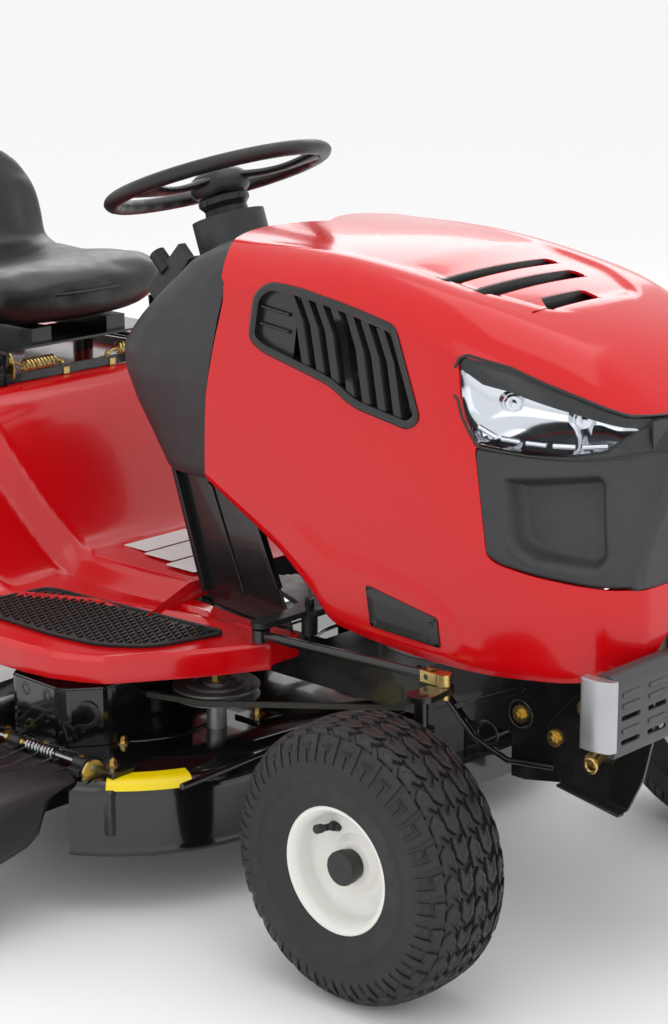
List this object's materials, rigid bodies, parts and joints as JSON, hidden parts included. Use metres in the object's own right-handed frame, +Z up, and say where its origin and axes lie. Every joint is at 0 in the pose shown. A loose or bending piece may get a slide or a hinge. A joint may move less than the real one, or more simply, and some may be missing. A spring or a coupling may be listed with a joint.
{
  "type": "riding lawn mower",
  "caption": "Riding lawn mower with a tilting hood, seat, steering front axle, side-discharge mower deck and turf tyres.",
  "frame": {"origin": "middle of the footprint box, on the ground", "axes": "+X towards the front of the machine, +Y towards its left side, +Z up"},
  "size_m": [1.812, 1.3168, 1.0467],
  "materials": {
    "paint_black": "gloss",
    "bumper_grey": "textured",
    "cap_silver": "brushed metallic",
    "charcoal": "grained",
    "black_plastic": "grained",
    "red_plastic": "glossy",
    "red_metal": "glossy",
    "pad_rubber": "ribbed",
    "engine_alloy": "cast",
    "muffler_steel": "heat-resistant",
    "tank_plastic": "translucent",
    "battery_case": "smooth",
    "zinc_gold": "zinc plated",
    "seat_vinyl": "grained vinyl",
    "reflector_chrome": "mirror",
    "lens_clear": "clear",
    "rim_white": "gloss",
    "tyre_black": "treaded",
    "steel": "machined",
    "blade_steel": "ground",
    "belt_rubber": "worn",
    "yellow_plastic": "smooth"
  },
  "bodies": {
    "chassis": {"frame_rail_left": "paint_black", "frame_rail_right": "paint_black", "frame_crossmembers": "paint_black", "front_bumper": "bumper_grey", "bumper_caps": "cap_silver", "dash_legs": "paint_black", "dash_panel": "charcoal", "column_cover": "black_plastic", "fender": "red_metal", "foot_pads": "pad_rubber", "engine_block": "engine_alloy", "engine_shroud": "black_plastic", "muffler": "muffler_steel", "fuel_tank": "tank_plastic", "battery": "battery_case", "transaxle": "engine_alloy", "seat_base": "paint_black", "chassis_bolts": "zinc_gold"},
    "fuel_cap": {"fuel_cap": "black_plastic"},
    "seat": {"seat_pan": "paint_black", "seat_cushion": "seat_vinyl"},
    "hood": {"hood": "red_plastic", "hood_trim": "charcoal", "headlight_reflectors": "reflector_chrome", "headlight_lenses": "lens_clear"},
    "front_axle": {"front_axle": "paint_black"},
    "knuckle_left": {"knuckle_left": "paint_black"},
    "knuckle_right": {"knuckle_right": "paint_black"},
    "front_wheel_left": {"front_tyre_left": "tyre_black", "front_rim_left": "rim_white"},
    "front_wheel_right": {"front_tyre_right": "tyre_black", "front_rim_right": "rim_white"},
    "rear_wheel_left": {"rear_tyre_left": "tyre_black", "rear_rim_left": "rim_white"},
    "rear_wheel_right": {"rear_tyre_right": "tyre_black", "rear_rim_right": "rim_white"},
    "tie_rod": {"tie_rod": "steel"},
    "drag_rod_end": {"drag_rod_end": "zinc_gold"},
    "drag_link": {"drag_link": "paint_black"},
    "sector_gear": {"sector_gear": "steel"},
    "steering": {"steering_shaft": "steel", "steering_wheel": "black_plastic"},
    "deck": {"deck_shell": "paint_black", "spindle_housings": "engine_alloy", "belt_covers": "paint_black", "deck_belt": "belt_rubber", "deflector_hinge": "steel", "lift_links": "steel"},
    "blade_left": {"blade_spindle_left": "blade_steel"},
    "blade_right": {"blade_spindle_right": "blade_steel"},
    "idler": {"deck_idler": "steel"},
    "deflector": {"deflector": "charcoal"},
    "lift_lever": {"lift_lever": "paint_black"},
    "brake_pedal": {"brake_pedal": "paint_black"},
    "speed_lever": {"speed_lever": "paint_black"},
    "direction_lever": {"direction_lever": "paint_black"},
    "blade_lever": {"blade_lever": "yellow_plastic"},
    "throttle_lever": {"throttle_lever": "red_plastic"},
    "ignition_key": {"ignition_key": "steel"},
    "crankshaft": {"crank_pulley": "steel"}
  },
  "joints": [
    {"name": "fuel_cap_turn", "type": "hinge", "parent": "chassis", "child": "fuel_cap", "pos_m": [0.196, 0.022, 0.84], "axis": [0, 0, 1], "range_deg": [-90, 90]},
    {"name": "seat_tilt", "type": "hinge", "parent": "chassis", "child": "seat", "pos_m": [-0.376, 0.112, 0.676], "axis": [0, 1, 0], "range_deg": [0, 50]},
    {"name": "hood_open", "type": "hinge", "parent": "chassis", "child": "hood", "pos_m": [0.82, 0.112, 0.48], "axis": [0, 1, 0], "range_deg": [0, 46]},
    {"name": "axle_pivot", "type": "hinge", "parent": "chassis", "child": "front_axle", "pos_m": [0.628, 0.112, 0.256], "axis": [1, 0, 0], "range_deg": [-4, 4]},
    {"name": "knuckle_right_turn", "type": "hinge", "parent": "front_axle", "child": "knuckle_right", "pos_m": [0.628, -0.194, 0.29], "axis": [0, 0, 1], "range_deg": [-31.6, 31.6]},
    {"name": "knuckle_left_turn", "type": "hinge", "parent": "front_axle", "child": "knuckle_left", "pos_m": [0.628, 0.418, 0.29], "axis": [0, 0, 1], "range_deg": [-31.6, 31.6]},
    {"name": "front_wheel_left_spin", "type": "hinge", "parent": "knuckle_left", "child": "front_wheel_left", "pos_m": [0.628, 0.52, 0.1905], "axis": [0, 1, 0], "continuous": true},
    {"name": "front_wheel_right_spin", "type": "hinge", "parent": "knuckle_right", "child": "front_wheel_right", "pos_m": [0.628, -0.296, 0.1905], "axis": [0, 1, 0], "continuous": true},
    {"name": "rear_wheel_left_spin", "type": "hinge", "parent": "chassis", "child": "rear_wheel_left", "pos_m": [-0.572, 0.4805, 0.254], "axis": [0, 1, 0], "continuous": true},
    {"name": "rear_wheel_right_spin", "type": "hinge", "parent": "chassis", "child": "rear_wheel_right", "pos_m": [-0.572, -0.2565, 0.254], "axis": [0, 1, 0], "continuous": true},
    {"name": "tie_rod_swing", "type": "hinge", "parent": "knuckle_right", "child": "tie_rod", "pos_m": [0.543, -0.194, 0.23], "axis": [0, 0, 1], "range_deg": [-31.6, 31.6]},
    {"name": "rod_end_swing", "type": "hinge", "parent": "knuckle_right", "child": "drag_rod_end", "pos_m": [0.628, -0.149, 0.396], "axis": [0, 0, 1], "range_deg": [-31.6, 31.6]},
    {"name": "drag_link_pitch", "type": "hinge", "parent": "drag_rod_end", "child": "drag_link", "pos_m": [0.604, -0.149, 0.396], "axis": [0, 1, 0], "range_deg": [-2.9, 2.9]},
    {"name": "sector_turn", "type": "hinge", "parent": "chassis", "child": "sector_gear", "pos_m": [0.278, -0.038, 0.396], "axis": [0, 0, 1], "range_deg": [-13.02, 13.02]},
    {"name": "steering_turn", "type": "hinge", "parent": "chassis", "child": "steering", "pos_m": [-0.052, 0.112, 0.978], "axis": [-0.342, 0, 0.9397], "range_deg": [-100, 100]},
    {"name": "deck_height", "type": "slide", "parent": "chassis", "child": "deck", "axis": [0, 0, 1], "range_m": [-0.06, 0], "deforming": ["deck_belt"]},
    {"name": "blade_left_spin", "type": "hinge", "parent": "deck", "child": "blade_left", "pos_m": [0.073, 0.372, 0.104], "axis": [0, 0, 1], "continuous": true},
    {"name": "blade_right_spin", "type": "hinge", "parent": "deck", "child": "blade_right", "pos_m": [0.013, -0.148, 0.104], "axis": [0, 0, 1], "continuous": true},
    {"name": "idler_spin", "type": "hinge", "parent": "deck", "child": "idler", "pos_m": [0.152, -0.106, 0.262], "axis": [0, 0, 1], "continuous": true},
    {"name": "crank_spin", "type": "hinge", "parent": "chassis", "child": "crankshaft", "pos_m": [0.438, 0.112, 0.262], "axis": [0, 0, 1], "continuous": true},
    {"name": "deflector_lift", "type": "hinge", "parent": "deck", "child": "deflector", "pos_m": [0.013, -0.366, 0.216], "axis": [-1, 0, 0], "range_deg": [0, 75], "stiffness_Nm_per_rad": 0.25, "springref_deg": -68.75},
    {"name": "lift_lever_turn", "type": "hinge", "parent": "chassis", "child": "lift_lever", "pos_m": [-0.342, 0.112, 0.271], "axis": [0, 1, 0], "range_deg": [0, 21.6]},
    {"name": "brake_pedal_press", "type": "hinge", "parent": "chassis", "child": "brake_pedal", "pos_m": [0.298, 0.302, 0.312], "axis": [0, 1, 0], "range_deg": [0, 12], "stiffness_Nm_per_rad": 6, "springref_deg": -20.05},
    {"name": "speed_lever_shift", "type": "hinge", "parent": "chassis", "child": "speed_lever", "pos_m": [-0.422, 0.356, 0.396], "axis": [0, 1, 0], "range_deg": [-12, 12]},
    {"name": "direction_lever_shift", "type": "hinge", "parent": "chassis", "child": "direction_lever", "pos_m": [-0.31, 0.244, 0.41], "axis": [0, 1, 0], "range_deg": [-8, 8]},
    {"name": "blade_lever_engage", "type": "hinge", "parent": "chassis", "child": "blade_lever", "pos_m": [0.018, 0.017, 0.77], "axis": [0, 1, 0], "range_deg": [-20, 20]},
    {"name": "throttle_lever_set", "type": "hinge", "parent": "chassis", "child": "throttle_lever", "pos_m": [0.018, 0.207, 0.77], "axis": [0, 1, 0], "range_deg": [-20, 20]},
    {"name": "ignition_key_turn", "type": "hinge", "parent": "chassis", "child": "ignition_key", "pos_m": [-0.04032, 0.046, 0.82476], "axis": [-0.729, 0, 0.6845], "range_deg": [0, 75]}
  ],
  "couplings": [
    {"joint": "sector_turn", "follows": "steering_turn", "ratio": -0.13021},
    {"joint": "knuckle_right_turn", "follows": "steering_turn", "ratio": 0.316},
    {"joint": "knuckle_left_turn", "follows": "steering_turn", "ratio": 0.316},
    {"joint": "tie_rod_swing", "follows": "steering_turn", "ratio": -0.316},
    {"joint": "rod_end_swing", "follows": "steering_turn", "ratio": -0.316},
    {"joint": "drag_link_pitch", "follows": "axle_pivot", "ratio": 0.7},
    {"joint": "lift_lever_turn", "follows": "deck_height", "rad_per_m": -6.2832},
    {"joint": "blade_left_spin", "follows": "crank_spin", "ratio": 0.8871},
    {"joint": "blade_right_spin", "follows": "crank_spin", "ratio": 0.8871},
    {"joint": "idler_spin", "follows": "crank_spin", "ratio": 0.87302}
  ]
}
